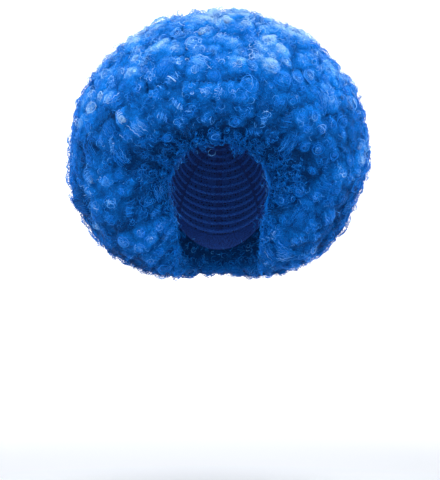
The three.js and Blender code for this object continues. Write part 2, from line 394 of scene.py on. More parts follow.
def tube_points(lines, radius, outwards):
    """Rings of points round each line. The tube narrows to its ends."""
    along = unit(np.gradient(lines, axis=1))
    level = unit(np.cross(along, outwards[:, None, :]) + 1e-6)
    upright = np.cross(level, along)
    place = np.linspace(-1, 1, lines.shape[1])
    width = radius * (1 - 0.75 * np.abs(place) ** 4)
    turn = 2 * math.pi * np.arange(SIDES) / SIDES
    ring = (level[:, :, None, :] * np.cos(turn)[None, None, :, None]
            + upright[:, :, None, :] * np.sin(turn)[None, None, :, None])
    return (lines[:, :, None, :] + ring * width[None, :, None, None]).reshape(len(lines), -1, 3)


def tube_form(rings):
    """The triangles of a closed tube, with one over each end, and its bake map, where the sides lie
    beside each other."""
    faces, corners = [], []
    for i in range(rings - 1):
        low, high = 0.05 + 0.9 * i / (rings - 1), 0.05 + 0.9 * (i + 1) / (rings - 1)
        for k in range(SIDES):
            a, b = i * SIDES + k, i * SIDES + (k + 1) % SIDES
            left, right = 0.05 + 0.26 * k, 0.05 + 0.26 * (k + 1)
            faces += [(a, b, b + SIDES), (a, b + SIDES, a + SIDES)]
            corners += [(left, low), (right, low), (right, high)]
            corners += [(left, low), (right, high), (left, high)]
    last = (rings - 1) * SIDES
    faces += [(0, 2, 1), (last, last + 1, last + 2)]
    for low in (0.1, 0.5):
        corners += [(0.86, low), (0.95, low), (0.9, low + 0.3)]
    return faces, corners


def add_strands(lots, lines, radius, tone, outwards, owner):
    """Adds strands along lines, an array of strand, point and axis, with a tone for each point."""
    lots.add(tube_points(lines, radius, outwards), *tube_form(lines.shape[1]),
             {"tone": np.repeat(tone, SIDES, axis=1)}, owner)


def mesh_object(name, points, faces, values=None, bake_map=None):
    """A smooth-shaded mesh from arrays of points and triangles, with named values at its points."""
    mesh = bpy.data.meshes.new(name)
    mesh.vertices.add(len(points))
    mesh.vertices.foreach_set("co", points.astype(np.float32).ravel())
    mesh.loops.add(faces.size)
    mesh.loops.foreach_set("vertex_index", faces.astype(np.int32).ravel())
    mesh.polygons.add(len(faces))
    mesh.polygons.foreach_set("loop_start", np.arange(0, faces.size, 3, dtype=np.int32))
    mesh.polygons.foreach_set("use_smooth", np.ones(len(faces), dtype=bool))
    for title, value in (values or {}).items():
        set_values(mesh, title, value)
    if bake_map is not None:
        held = mesh.uv_layers.new(name="OFBake")
        held.uv.foreach_set("vector", bake_map.astype(np.float32).ravel())
    mesh.update(calc_edges=True)
    return placed(name, mesh)


def set_values(mesh, title, value):
    """Keeps a number or a vector for each point of a mesh."""
    kind, field = ("FLOAT", "value") if value.ndim == 1 else ("FLOAT_VECTOR", "vector")
    held = mesh.attributes.new(title, kind, "POINT")
    held.data.foreach_set(field, value.astype(np.float32).ravel())


def placed(name, data):
    """An object in the scene that holds the data."""
    made = bpy.data.objects.new(name, data)
    bpy.context.scene.collection.objects.link(made)
    return made


# The wound cores that ringlets and coils are built round

class Core:
    """A small closed form: rings round an axis, from its tip to its foot."""

    def __init__(self, falls, foot, turns=12):
        angles = 2 * math.pi * np.arange(turns) / turns
        rings = [[0, 0, 1.0]]
        for fall in np.radians(falls):
            for angle in angles:
                rings.append([math.sin(fall) * math.cos(angle), math.sin(fall) * math.sin(angle),
                              math.cos(fall)])
        self.wound = np.array(rings + [[0, 0, -1.0]])
        self.points = np.array(rings + [[0, 0, foot]])
        self.faces = []
        self.corners = []
        last = len(self.points) - 1
        for k in range(turns):
            after = (k + 1) % turns
            left, right = 0.05 + 0.9 * k / turns, 0.05 + 0.9 * (k + 1) / turns
            self.faces.append((0, 1 + k, 1 + after))
            self.corners += [(left, 0.95), (left, 0.8), (right, 0.8)]
            for i in range(len(falls) - 1):
                high, low = (0.8 - 0.6 * j / (len(falls) - 1) for j in (i, i + 1))
                a, b = 1 + i * turns + k, 1 + i * turns + after
                self.faces += [(a, a + turns, b + turns), (a, b + turns, b)]
                self.corners += [(left, high), (left, low), (right, low)]
                self.corners += [(left, high), (right, low), (right, high)]
            first = 1 + (len(falls) - 1) * turns
            self.faces.append((first + k, last, first + after))
            self.corners += [(left, 0.2), (left, 0.05), (right, 0.2)]

    def copies(self, rng, centres, frames, sizes):
        """Points of a core at each centre, turned to its frame and stretched to its sizes."""
        uneven = rng.normal(1, 0.07, (len(centres), len(self.points), 1))
        local = self.points[None, :, :] * sizes[:, None, :] * uneven
        return centres[:, None, :] + np.einsum("nkj,npk->npj", frames, local)


BALL_CORE = Core((22, 44, 66, 90), -0.3)
COIL_CORE = Core((26, 52, 78, 104, 130, 154), -1.0)


# The kinds of curl

def ringlet_lines(rng, centre, radius, normal, strands, steps):
    """Curls seen end on: spirals that wind up a ball from its waist to its top."""
    count = len(centre)
    axis = unit(normal[:, None, :] + 0.3 * rng.normal(size=(count, strands, 3)))
    level, upright = across(axis, rng.normal(size=(count, strands, 3)))
    size = radius[:, None] * rng.uniform(0.92, 1.2, (count, strands))
    turns = rng.uniform(0.35, 0.95, (count, strands)) * rng.choice((-1, 1), (count, strands))
    lowest = np.radians(rng.uniform(-10, 75, (count, strands)))
    highest = lowest + np.radians(rng.uniform(0, 15, (count, strands)))
    t = np.linspace(0, 1, steps + 1)
    angle = 2 * math.pi * turns[..., None] * t
    rise = lowest[..., None] + (highest - lowest)[..., None] * t
    wobble = 1 + 0.05 * np.sin(3 * angle + rng.uniform(0, 6.3, (count, strands, 1)))
    flat = (size[..., None] * np.cos(rise) * wobble)[..., None]
    high = (size[..., None] * np.sin(rise) * 0.9)[..., None]
    middle = centre[:, None, :] + radius[:, None, None] * 0.06 * rng.normal(size=(count, strands, 3))
    return (middle[:, :, None, :] + axis[:, :, None, :] * high
            + flat * (level[:, :, None, :] * np.cos(angle)[..., None]
                      + upright[:, :, None, :] * np.sin(angle)[..., None]))


def coil_lines(rng, centre, radius, length, axis, normal, arcs, steps):
    """Curls seen from the side: loose arcs over the outer half of a coil."""
    count = len(centre)
    _, side = across(normal, axis)
    place = (np.arange(arcs) + rng.uniform(-0.7, 0.7, (count, arcs))) / (arcs - 1) - 0.5
    bulge = np.sqrt(1 - (1.3 * place) ** 2)
    size = radius[:, None] * bulge * rng.uniform(0.95, 1.25, (count, arcs))
    start = np.radians(rng.uniform(-30, 60, (count, arcs)))
    end = start + np.radians(rng.uniform(70, 170, (count, arcs)))
    skew = rng.normal(0.12, 0.12, (count, arcs))
    t = np.linspace(0, 1, steps + 1)
    angle = start[..., None] + (end - start)[..., None] * t
    lead = length[:, None, None] * (0.9 * place[..., None] + skew[..., None] * (t - 0.5))
    return (centre[:, None, None, :] + axis[:, None, None, :] * lead[..., None]
            + size[..., None, None] * (side[:, None, None, :] * np.cos(angle)[..., None]
                                       + normal[:, None, None, :] * np.sin(angle)[..., None]))


def crimp_lines(rng, centre, length, along, normal, strands, steps, crown):
    """Crimped strands side by side, crowned in the middle of their clump."""
    count = len(centre)
    first, side = across(normal, along)
    t = np.linspace(-0.5, 0.5, steps + 1)
    reach = length[:, None] * rng.uniform(0.5, 1.1, (count, strands))
    turn = 2 * math.pi * reach[..., None] * t / CRIMP_WAVE
    phase = rng.uniform(0, 6.3, (count, 1, 1)) + rng.uniform(-0.7, 0.7, (count, strands, 1))
    wave = 0.9 * MM * np.sin(turn + phase)
    swell = 0.9 * MM * np.cos(turn * 0.9 + phase)
    offset = (np.arange(strands) - (strands - 1) / 2) * CRIMP_GAP
    offset = offset + rng.uniform(-1.2, 1.2, (count, strands)) * MM
    slide = rng.uniform(-5, 5, (count, strands, 1)) * MM
    dome = crown * (1 - (2 * offset / (strands * CRIMP_GAP)) ** 2)
    high = dome[..., None] * (1 - (2 * t) ** 2) + swell
    high -= (reach[..., None] * t + slide) ** 2 / (2 * BEND_RADIUS)
    return (centre[:, None, None, :]
            + first[:, None, None, :] * (reach[..., None] * t + slide)[..., None]
            + side[:, None, None, :] * (offset[..., None] + wave)[..., None]
            + normal[:, None, None, :] * high[..., None])


def loop_lines(rng, centre, radius, normal, steps):
    """Single curls: most of a turn each, lying about flat and bobbing up and down."""
    count = len(centre)
    axis = unit(normal + 0.7 * rng.normal(size=(count, 3)))
    level, upright = across(axis, rng.normal(size=(count, 3)))
    turns = rng.uniform(0.5, 1.05, count)
    t = np.linspace(0, 1, steps + 1)
    angle = 2 * math.pi * turns[:, None] * t
    size = radius[:, None] * (1 - 0.35 * t)
    rise = radius[:, None] * 0.7 * (t - 0.5)
    return (centre[:, None, :] + axis[:, None, :] * rise[..., None]
            + size[..., None] * (level[:, None, :] * np.cos(angle)[..., None]
                                 + upright[:, None, :] * np.sin(angle)[..., None]))


def wisp_lines(rng, centre, length, normal, steps):
    """Short loose ends that stand out of the ball and curl over."""
    count = len(centre)
    away = unit(normal + 0.55 * rng.normal(size=(count, 3)))
    bend, _ = across(away, rng.normal(size=(count, 3)))
    t = np.linspace(0, 1, steps + 1)
    turned = rng.uniform(0.9, 2.6, count)
    radius = (length / turned)[:, None]
    sweep = turned[:, None] * t
    return (centre[:, None, :] + away[:, None, :] * (radius * np.sin(sweep))[..., None]
            + bend[:, None, :] * (radius * (1 - np.cos(sweep)))[..., None])


# Materials

def add_node(owner, kind, settings, inputs, stops=()):
    """Adds a node. Each input holds a plain value, or the output that is linked to it. The stops
    are a colour ramp's places and colours."""
    node = owner.node_tree.nodes.new(kind)
    for name, value in settings.items():
        setattr(node, name, value)
    for name, value in inputs.items():
        if isinstance(value, bpy.types.NodeSocket):
            owner.node_tree.links.new(value, node.inputs[name])
        else:
            node.inputs[name].default_value = value
    for i, (place, colour) in enumerate(stops):
        element = node.color_ramp.elements[i] if i < 2 else node.color_ramp.elements.new(place)
        element.position = place
        element.color = linear(colour)
    return node


def new_material(name):
    """An empty material, and the place on the piece that its patterns lie by."""
    material = bpy.data.materials.new(name)
    material.use_nodes = True
    material.node_tree.nodes.clear()
    place = add_node(material, "ShaderNodeTexCoord", {}, {}).outputs["Object"]
    return material, place


def finish_material(material, shader, relief=None, sunken=False):
    """Gives a material its shader's own values, and a raised or sunken relief if it has one."""
    values = dict(shader)
    if relief:
        bump = add_node(material, "ShaderNodeBump", {"invert": sunken}, relief)
        values["Normal"] = bump.outputs["Normal"]
    surface = add_node(material, "ShaderNodeBsdfPrincipled", {}, values)
    add_node(material, "ShaderNodeOutputMaterial", {}, {"Surface": surface.outputs["BSDF"]})
    return material


# The dye and the painted light on it, from the deepest, shaded curls to the lightest, with whitish
# painted highlights at the light end
HAIR_DYE_AND_SHADING = [(0.0, "#003064"), (1.0, "#9ec8f0"), (0.34, "#0158aa"), (0.6, "#0675da"),
            (0.82, "#4c98e2")]


def curled_fibre(name):
    """Modacrylic fibre, extruded and heat-set in curls: a satin sheen, and no two curls dyed quite
    alike. The tone says how light each strand is, with painted light and shade in it."""
    material, place = new_material(name)
    tone = add_node(material, "ShaderNodeAttribute", {"attribute_name": "tone"}, {})
    # Single fibres are about 0.1 mm wide. They are drawn 1 mm wide, the least that shows.
    fibres = add_node(material, "ShaderNodeTexNoise", {},
                      {"Vector": place, "Scale": 1000.0, "Detail": 2.0, "Roughness": 0.6})
    spread = add_node(material, "ShaderNodeMath", {"operation": "MULTIPLY_ADD"},
                      {0: fibres.outputs["Fac"], 1: 0.3, 2: tone.outputs["Fac"]})
    centred = add_node(material, "ShaderNodeMath", {"operation": "ADD"},
                       {0: spread.outputs[0], 1: -0.15})
    shaded_dye = add_node(material, "ShaderNodeValToRGB", {}, {"Fac": centred.outputs[0]}, HAIR_DYE_AND_SHADING)
    return finish_material(
        material, {"Base Color": shaded_dye.outputs["Color"], "Roughness": 0.45, "IOR": 1.48,
                   "Specular IOR Level": 0.08},
        {"Strength": 0.35, "Distance": 0.4 * MM, "Height": fibres.outputs["Fac"]})


def wound_fibre(name):
    """The same fibre wound in ringlets: fine turns, light on their backs and dark between them, both
    from their relief and as painted light and painted shade. Real turns are under 1 mm apart. They are
    drawn 2.6 mm apart, the least that shows."""
    material, place = new_material(name)
    tone = add_node(material, "ShaderNodeAttribute", {"attribute_name": "tone"}, {})
    turns = add_node(material, "ShaderNodeAttribute", {"attribute_name": "turns"}, {})
    wound = add_node(material, "ShaderNodeAttribute", {"attribute_name": "wound"}, {})
    level = add_node(material, "ShaderNodeVectorMath", {"operation": "NORMALIZE"},
                     {0: wound.outputs["Vector"]})
    axes = add_node(material, "ShaderNodeSeparateXYZ", {}, {0: level.outputs[0]})
    fall = add_node(material, "ShaderNodeMath", {"operation": "ARCCOSINE"}, {0: axes.outputs[2]})
    angle = add_node(material, "ShaderNodeMath", {"operation": "ARCTAN2"},
                     {0: axes.outputs[1], 1: axes.outputs[0]})
    even = add_node(material, "ShaderNodeMath", {"operation": "MULTIPLY_ADD"},
                    {0: fall.outputs[0], 1: turns.outputs["Fac"], 2: angle.outputs[0]})
    drift = add_node(material, "ShaderNodeTexNoise", {},
                     {"Vector": place, "Scale": 220.0, "Detail": 3.0, "Roughness": 0.65})
    loose = add_node(material, "ShaderNodeMath", {"operation": "MULTIPLY_ADD"},
                     {0: drift.outputs["Fac"], 1: 14.0, 2: even.outputs[0]})
    arcs = add_node(material, "ShaderNodeMath", {"operation": "SINE"}, {0: loose.outputs[0]})
    # Painted light on the turns' backs and painted shade between them
    shade = add_node(material, "ShaderNodeMath", {"operation": "MULTIPLY_ADD"},
                     {0: arcs.outputs[0], 1: 0.22, 2: tone.outputs["Fac"]})
    mottled = add_node(material, "ShaderNodeMath", {"operation": "MULTIPLY_ADD"},
                       {0: drift.outputs["Fac"], 1: 0.5, 2: shade.outputs[0]})
    deep = add_node(material, "ShaderNodeMath", {"operation": "ADD"},
                    {0: mottled.outputs[0], 1: -0.25})
    shaded_dye = add_node(material, "ShaderNodeValToRGB", {}, {"Fac": deep.outputs[0]}, HAIR_DYE_AND_SHADING)
    return finish_material(
        material, {"Base Color": shaded_dye.outputs["Color"], "Roughness": 0.5, "IOR": 1.48,
                   "Specular IOR Level": 0.08},
        {"Strength": 1.0, "Distance": 0.9 * MM, "Height": arcs.outputs[0]})


def packed_fibre(name):
    """The same fibre where curls lie packed: round whorls about 12 mm across, each of fine arcs about
    2.5 mm apart, and darker where they meet as painted shade. The arcs are partly relief and partly
    painted light and shade."""
    material, place = new_material(name)
    tone = add_node(material, "ShaderNodeAttribute", {"attribute_name": "tone"}, {})
    drift = add_node(material, "ShaderNodeTexNoise", {},
                     {"Vector": place, "Scale": 140.0, "Detail": 3.0, "Roughness": 0.7})
    bent = add_node(material, "ShaderNodeVectorMath", {"operation": "MULTIPLY_ADD"},
                    {0: drift.outputs["Color"], 1: (0.012, 0.012, 0.012), 2: place})
    whorl = add_node(material, "ShaderNodeTexVoronoi", {},
                     {"Vector": bent.outputs[0], "Scale": 85.0, "Randomness": 1.0})
    turns = add_node(material, "ShaderNodeMath", {"operation": "MULTIPLY"},
                     {0: whorl.outputs["Distance"], 1: 30.0})
    arcs = add_node(material, "ShaderNodeMath", {"operation": "SINE"}, {0: turns.outputs[0]})
    # Painted light and shade on the arcs, and painted shade where the whorls meet
    shade = add_node(material, "ShaderNodeMath", {"operation": "MULTIPLY_ADD"},
                     {0: arcs.outputs[0], 1: 0.1, 2: tone.outputs["Fac"]})
    deep = add_node(material, "ShaderNodeMath", {"operation": "MULTIPLY_ADD"},
                    {0: whorl.outputs["Distance"], 1: -0.35, 2: shade.outputs[0]})
    shaded_dye = add_node(material, "ShaderNodeValToRGB", {}, {"Fac": deep.outputs[0]}, HAIR_DYE_AND_SHADING)
    return finish_material(
        material, {"Base Color": shaded_dye.outputs["Color"], "Roughness": 0.6, "IOR": 1.48,
                   "Specular IOR Level": 0.05},
        {"Strength": 0.9, "Distance": 1.0 * MM, "Height": arcs.outputs[0]})


def stretch_net(name):
    """Nylon net, warp-knitted: a dull dark ground with a fine even grid of holes."""
    material, place = new_material(name)
    # Real holes are about 1 mm across. They are drawn 4 mm apart, the least that shows.
    holes = add_node(material, "ShaderNodeTexVoronoi", {"feature": "DISTANCE_TO_EDGE"},
                     {"Vector": place, "Scale": 250.0, "Randomness": 0.6})
    thread = add_node(material, "ShaderNodeValToRGB", {}, {"Fac": holes.outputs["Distance"]},
                      [(0.1, "#123a80"), (0.35, "#04122e")])
    return finish_material(
        material, {"Base Color": thread.outputs["Color"], "Roughness": 0.85, "IOR": 1.53,
                   "Specular IOR Level": 0.2},
        {"Strength": 0.6, "Distance": 0.5 * MM, "Height": holes.outputs["Distance"]}, sunken=True)


def woven_tape(name, light, dark):
    """Polyester or elastic, woven or twisted: dull, with slubs and threads about 1 mm apart."""
    material, place = new_material(name)
    weave = add_node(material, "ShaderNodeTexVoronoi", {},
                     {"Vector": place, "Scale": 700.0, "Randomness": 0.7})
    thread = add_node(material, "ShaderNodeValToRGB", {}, {"Fac": weave.outputs["Distance"]},
                      [(0.1, light), (0.8, dark)])
    return finish_material(
        material, {"Base Color": thread.outputs["Color"], "Roughness": 0.8, "IOR": 1.53,
                   "Specular IOR Level": 0.25},
        {"Strength": 0.6, "Distance": 0.4 * MM, "Height": weave.outputs["Distance"]}, sunken=True)


def studio_paint(name):
    """White emulsion paint, rolled: matt and pale. It glows more and more from 0.3 to 1.7 m out, as
    if lit by hidden lamps, so that it runs into the white walls."""
    material, place = new_material(name)
    reach = add_node(material, "ShaderNodeVectorMath", {"operation": "LENGTH"}, {0: place})
    lit = add_node(material, "ShaderNodeMapRange", {"interpolation_type": "SMOOTHSTEP"},
                   {"Value": reach.outputs["Value"], "From Min": 0.3, "From Max": 1.7,
                    "To Min": 0.0, "To Max": 0.6})
    return finish_material(
        material, {"Base Color": linear("#e4e6e8"), "Roughness": 0.9, "IOR": 1.5,
                   "Emission Color": linear("#ffffff"), "Emission Strength": lit.outputs["Result"]})


# The hair

rng = np.random.default_rng(SEED)
surface = HairSurface()
surface.shade += PATCH_SHADE * patches(rng, surface.middle)
hair = Lots()
cores = Lots()

# The seams between rings are tried first, so that clusters lie over them
tries, tries_on = (np.concatenate(both) for both in zip(
    surface.scatter(rng, SEAM_TRIES, surface.seams), surface.scatter(rng, TRIES)))
fullness = rng.uniform(size=len(tries)) ** SMALLER
kept = spread_out(tries, CLUSTER_SPACING * sized(SPACING_RANGE, fullness))
centres, on, fullness = tries[kept], tries_on[kept], fullness[kept]
normals, owners = surface.around[on], surface.owner[on]
cluster_tone = TONES["cluster"] + surface.shade[on] + rng.normal(0, CLUSTER_SPREAD, len(kept))
kinds = rng.choice(len(SHARES), size=len(kept), p=SHARES)
downs, _ = across(normals, np.broadcast_to(-POLE, normals.shape))


def gather(strands, lines, radius, tone, centre, normal, owner, bright=0.0):
    """Adds clusters of strands, each strand a little lighter or darker than its cluster, with painted
    light where it stands proud of the cluster's centre and painted shade below it. A few strands get a
    painted highlight."""
    each = lines.shape[1]
    height = np.einsum("nspj,nj->nsp", lines - centre[:, None, None, :], normal)
    tones = tone[:, None, None] + rng.normal(0, STRAND_SPREAD, (len(tone), each, 1))
    # A painted highlight on a few strands
    tones += bright * (rng.uniform(size=(len(tone), each, 1)) < BRIGHT_SHARE)
    # Painted light above the cluster's centre and painted shade below it
    tones = tones + TIP_SHADE * np.clip(height / TIP_REACH, -1, 1)
    points = lines.shape[2]
    add_strands(strands, lines.reshape(-1, points, 3), radius,
                np.clip(tones, 0, 1).reshape(-1, points), np.repeat(normal, each, axis=0),
                np.repeat(owner, each))


def gather_loops(strands, middles, places, normal, owner, tone, spread=CLUSTER_SPREAD):
    """Adds single curls round their middles, one for each place on the surface."""
    radius = sized(LOOP_RADIUS, rng.uniform(size=len(places)))
    lines = loop_lines(rng, middles, radius, normal, STEPS["loop"])[:, None]
    gather(strands, lines, STRAND_RADIUS, tone + rng.normal(0, spread, len(places)), places, normal,
           owner)


def clump(chosen, lines, radius, added=0.0):
    """Adds the strands of the chosen clusters, a few of which get a painted highlight."""
    gather(hair, lines, radius, cluster_tone[chosen] + added, centres[chosen], normals[chosen],
           owners[chosen], BRIGHT)


def wind(core, chosen, middle, axis, towards, sizes, added):
    """Adds a core to each of the chosen clusters, wound in as many turns as its size asks."""
    level, upright = across(axis, towards)
    made = core.copies(rng, middle, np.stack([level, upright, axis], axis=1), sizes)
    turns = 2 * math.pi * sizes.max(axis=1, keepdims=True) / TURN_PITCH
    tone = cluster_tone[chosen] + added
    # Painted shade: the cores are darker than their curls, with painted light at the tip and painted
    # shade at the foot
    cores.add(made, core.faces, core.corners,
              {"wound": np.broadcast_to(core.wound, made.shape),
               "turns": np.broadcast_to(turns, made.shape[:2]),
               "tone": tone[:, None] + TIP_SHADE * core.wound[:, 2]}, owners[chosen])


balls = kinds == 0
ball_radius = sized(RINGLET_RADIUS, fullness[balls])
ball_middle = centres[balls] - normals[balls] * ball_radius[:, None] * CORE_DEPTH
ball_axis = unit(normals[balls] + 0.35 * rng.normal(size=(balls.sum(), 3)))
wind(BALL_CORE, balls, ball_middle, ball_axis, downs[balls], ball_radius[:, None] * BALL_CORE_SIZE,
     ADDED_TONES["ringlet_core"])
clump(balls, ringlet_lines(rng, ball_middle, ball_radius, normals[balls], RINGLET_STRANDS,
                           STEPS["ringlet"]),
      RINGLET_STRAND_RADIUS, ADDED_TONES["ringlet"])

coils = kinds == 1
coil_radius = sized(COIL_RADIUS, fullness[coils])
coil_length = sized(COIL_LENGTH, rng.uniform(size=coils.sum()))
coil_axis, _ = across(normals[coils], downs[coils] + 0.6 * rng.normal(size=(coils.sum(), 3)))
coil_middle = centres[coils] - normals[coils] * coil_radius[:, None] * CORE_DEPTH
coil_sizes = np.stack([coil_radius, coil_radius, coil_length / 2], axis=1)
wind(COIL_CORE, coils, coil_middle, coil_axis, normals[coils], coil_sizes * COIL_CORE_SIZE,
     ADDED_TONES["coil_core"])
clump(coils, coil_lines(rng, coil_middle, coil_radius, coil_length, coil_axis, normals[coils],
                        COIL_ARCS, STEPS["coil"]),
      RINGLET_STRAND_RADIUS, ADDED_TONES["coil"])

tufts = kinds == 3
tuft_count = tufts.sum() * TUFT_STRANDS
tuft_normal = np.repeat(normals[tufts], TUFT_STRANDS, axis=0)
tuft_radius = np.repeat(sized(TUFT_RADIUS, fullness[tufts]), TUFT_STRANDS)[:, None]
tuft_offset = rng.normal(size=(tuft_count, 3))
tuft_offset -= 0.5 * tuft_normal * np.sum(tuft_offset * tuft_normal, axis=1, keepdims=True)
tuft_offset -= tuft_normal * rng.uniform(size=(tuft_count, 1))
tuft_middle = np.repeat(centres[tufts], TUFT_STRANDS, axis=0) + 0.4 * tuft_radius * tuft_offset
tuft_lines = loop_lines(rng, tuft_middle, sized(TUFT_CURL, rng.uniform(size=tuft_count)),
                        tuft_normal, STEPS["loop"])
clump(tufts, tuft_lines.reshape(tufts.sum(), TUFT_STRANDS, -1, 3), STRAND_RADIUS,
      ADDED_TONES["tuft"])

crimps = kinds == 2
crimp_along, _ = across(normals[crimps], downs[crimps] + 0.9 * rng.normal(size=(crimps.sum(), 3)))
clump(crimps, crimp_lines(rng, centres[crimps] - normals[crimps] * ROOT_DEPTH,
                          sized(CRIMP_LENGTH, rng.uniform(size=crimps.sum())), crimp_along,
                          normals[crimps], CRIMP_STRANDS, STEPS["crimp"], CRIMP_CROWN),
      STRAND_RADIUS)

places, on = surface.scatter(rng, LOOPS)
middles = places - surface.around[on] * rng.uniform(0, LOOP_DEPTH, LOOPS)[:, None]
gather_loops(hair, middles, places, surface.around[on], surface.owner[on],
             TONES["loop"] + surface.shade[on])

places, on = surface.scatter(rng, SEAM_LOOPS, surface.seams)
gather_loops(hair, places + rng.normal(0, SEAM_STRAY, (SEAM_LOOPS, 3)), places,
             surface.around[on], surface.owner[on], TONES["seam"] + surface.shade[on])

places, on = surface.scatter(rng, WISPS)
gather(hair, wisp_lines(rng, places - surface.around[on] * ROOT_DEPTH,
                        sized(WISP_LENGTH, rng.uniform(size=WISPS)), surface.around[on],
                        STEPS["wisp"])[:, None],
       WISP_RADIUS, TONES["wisp"] + surface.shade[on] + rng.normal(0, CLUSTER_SPREAD, WISPS), places,
       surface.around[on], surface.owner[on])

lining = Lots()
places, on = surface.scatter(rng, RIM_LOOPS, surface.rim)
gather_loops(lining, places, places, surface.around[on], surface.owner[on], TONES["rim"],
             STRAND_SPREAD)

chosen = rng.choice(len(surface.inside), NAPE_CLUSTERS)
nape_normal = surface.inside_normal[chosen]
stray = rng.normal(0, NAPE_STRAY, (NAPE_CLUSTERS, 3))
stray -= nape_normal * np.sum(stray * nape_normal, axis=1, keepdims=True)
places = surface.inside[chosen] + stray
nape_along, _ = across(nape_normal, -POLE + 0.3 * rng.normal(size=(NAPE_CLUSTERS, 3)))
gather(lining, crimp_lines(rng, places, sized(CRIMP_LENGTH, rng.uniform(size=NAPE_CLUSTERS)),
                           nape_along, nape_normal, NAPE_STRANDS, STEPS["nape"], NAPE_CROWN),
       STRAND_RADIUS, rng.normal(TONES["nape"], CLUSTER_SPREAD, NAPE_CLUSTERS), places, nape_normal,
       surface.inside_owner[chosen])
chosen = rng.choice(len(surface.inside), NAPE_LOOPS)
places, nape_normal = surface.inside[chosen], surface.inside_normal[chosen]
middles = places + rng.normal(0, NAPE_STRAY, (NAPE_LOOPS, 3)) - nape_normal * ROOT_DEPTH
gather_loops(lining, middles, places, nape_normal, surface.inside_owner[chosen],
             TONES["nape_loop"])


def cushion(name, node):
    """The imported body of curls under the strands: a ring's own solid, made rounder and moved onto
    the ball, with a dome under each cluster and a hollow between them. At a seam it spreads
    towards the next ring."""
    shape = bmesh.new()
    shape.from_mesh(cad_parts[name].data)
    bmesh.ops.remove_doubles(shape, verts=shape.verts, dist=0.01 * MM)
    mine = surface.owner == node
    outside = surface.middle[mine]
    for _ in range(3):
        long_edges = [edge for edge in shape.edges if edge.calc_length() > CUSHION_EDGE
                      and gaps(outside, (edge.verts[0].co + edge.verts[1].co) / 2).min() < CUSHION_FINE]
        bmesh.ops.subdivide_edges(shape, edges=long_edges, cuts=1)
        bmesh.ops.triangulate(shape, faces=shape.faces)
    bmesh.ops.smooth_vert(shape, verts=shape.verts, factor=0.5, use_axis_x=True,
                          use_axis_y=True, use_axis_z=True)
    shape.normal_update()
    tones = []
    for vertex in shape.verts:
        to_outside, to_clusters = gaps(outside, vertex.co), gaps(centres, vertex.co)
        at, cluster = to_outside.argmin(), to_clusters.argmin()
        outer = max(0.0, 1 - to_outside[at] / CUSHION_REACH)
        dome = math.sqrt(max(0.0, 1 - (to_clusters[cluster] / DOME_RADIUS) ** 2))
        clear = min(1.0, gaps(surface.inside, vertex.co).min() / LINING_CLEAR)
        # Painted shade: the cushion is darker than the curls, and darker in the hollows between
        # clusters' domes than on them
        tones.append(TONES["cushion"] + surface.shade[mine][at] + TIP_SHADE * (dome - 0.5)
                     + dome * DOME_TONE * (cluster_tone[cluster] - DOME_LEVEL))
        depth = CUSHION_DEPTH * (1 - DOME_RISE * dome) * clear
        level, place = np.flatnonzero(mine)[at], np.array(vertex.co)
        sideways, _ = across(surface.outwards[level], np.array(vertex.normal))
        steep = math.sqrt(max(0.0, 1 - (np.array(vertex.normal) @ surface.outwards[level]) ** 2))
        moved = surface.evened(place[None, :], [level])[0] - surface.outwards[level] * depth
        moved += sideways * steep * SEAM_SPREAD * clear
        vertex.co += Vector(moved) * min(1.0, CUSHION_FIRM * outer)
    mesh = bpy.data.meshes.new(f"{name}_cushion")
    shape.to_mesh(mesh)
    shape.free()
    set_values(mesh, "tone", np.array(tones))
    mesh.polygons.foreach_set("use_smooth", np.ones(len(mesh.polygons), dtype=bool))
    return placed(f"{name}_cushion", mesh)


def dress(piece, name, material):
    """Gives a piece its material, and lets it stand for the solid of that name."""
    piece.data.materials.append(material)
    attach(piece, "root")
    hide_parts(name)


curled = curled_fibre("modacrylic_fibre_curled")
wound = wound_fibre("modacrylic_fibre_wound")
packed = packed_fibre("modacrylic_fibre_packed")
for node, name in enumerate(HAIR_NODES):
    dress(mesh_object(f"{name}_curls", *hair.of_node(node)), name, curled)
    dress(mesh_object(f"{name}_ringlets", *cores.of_node(node)), name, wound)
    dress(cushion(name, node), name, packed)
dress(mesh_object("hairline_ring_lining", *lining.of_node(HAIR_NODES.index("hairline_ring"))),
      "hairline_ring", curled)


# The cap

LEVEL = np.array([1.0, 0.0, 0.0])
UPRIGHT = np.cross(POLE, LEVEL)


def inner_wall(name, falls, turns):
    """The inside of the net or the band, as an array of turn, fall and axis, made smooth."""
    tree = ray_tree(triangles_of(name))
    wall = np.empty((turns, len(falls), 3))
    for j in range(turns):
        turn = 2 * math.pi * j / turns
        outwards = LEVEL * math.cos(turn) + UPRIGHT * math.sin(turn)
        for i, fall in enumerate(np.radians(falls)):
            d = POLE * math.cos(fall) + outwards * math.sin(fall)
            wall[j, i] = tree.ray_cast(Vector(CAP_CENTRE), Vector(d))[0]
    for _ in range(3):
        wall = (np.roll(wall, 1, axis=0) + 2 * wall + np.roll(wall, -1, axis=0)) / 4
    return wall


def raised(wall, height):
    """The wall moved away from the cap's middle."""
    return wall + unit(wall - CAP_CENTRE) * height


def looped(sections, closed=True):
    """Points and triangles of a solid from closed sections, which run round in a loop or not."""
    count, size = sections.shape[:2]
    faces = []
    for j in range(count if closed else count - 1):
        after = (j + 1) % count
        for i in range(size):
            a, b = j * size + i, after * size + i
            c, d = after * size + (i + 1) % size, j * size + (i + 1) % size
            faces += [(a, b, c), (a, c, d)]
    if not closed:
        last = (count - 1) * size
        faces += [(0, i, i + 1) for i in range(1, size - 1)]
        faces += [(last, last + i + 1, last + i) for i in range(1, size - 1)]
    return sections.reshape(-1, 3), np.array(faces)


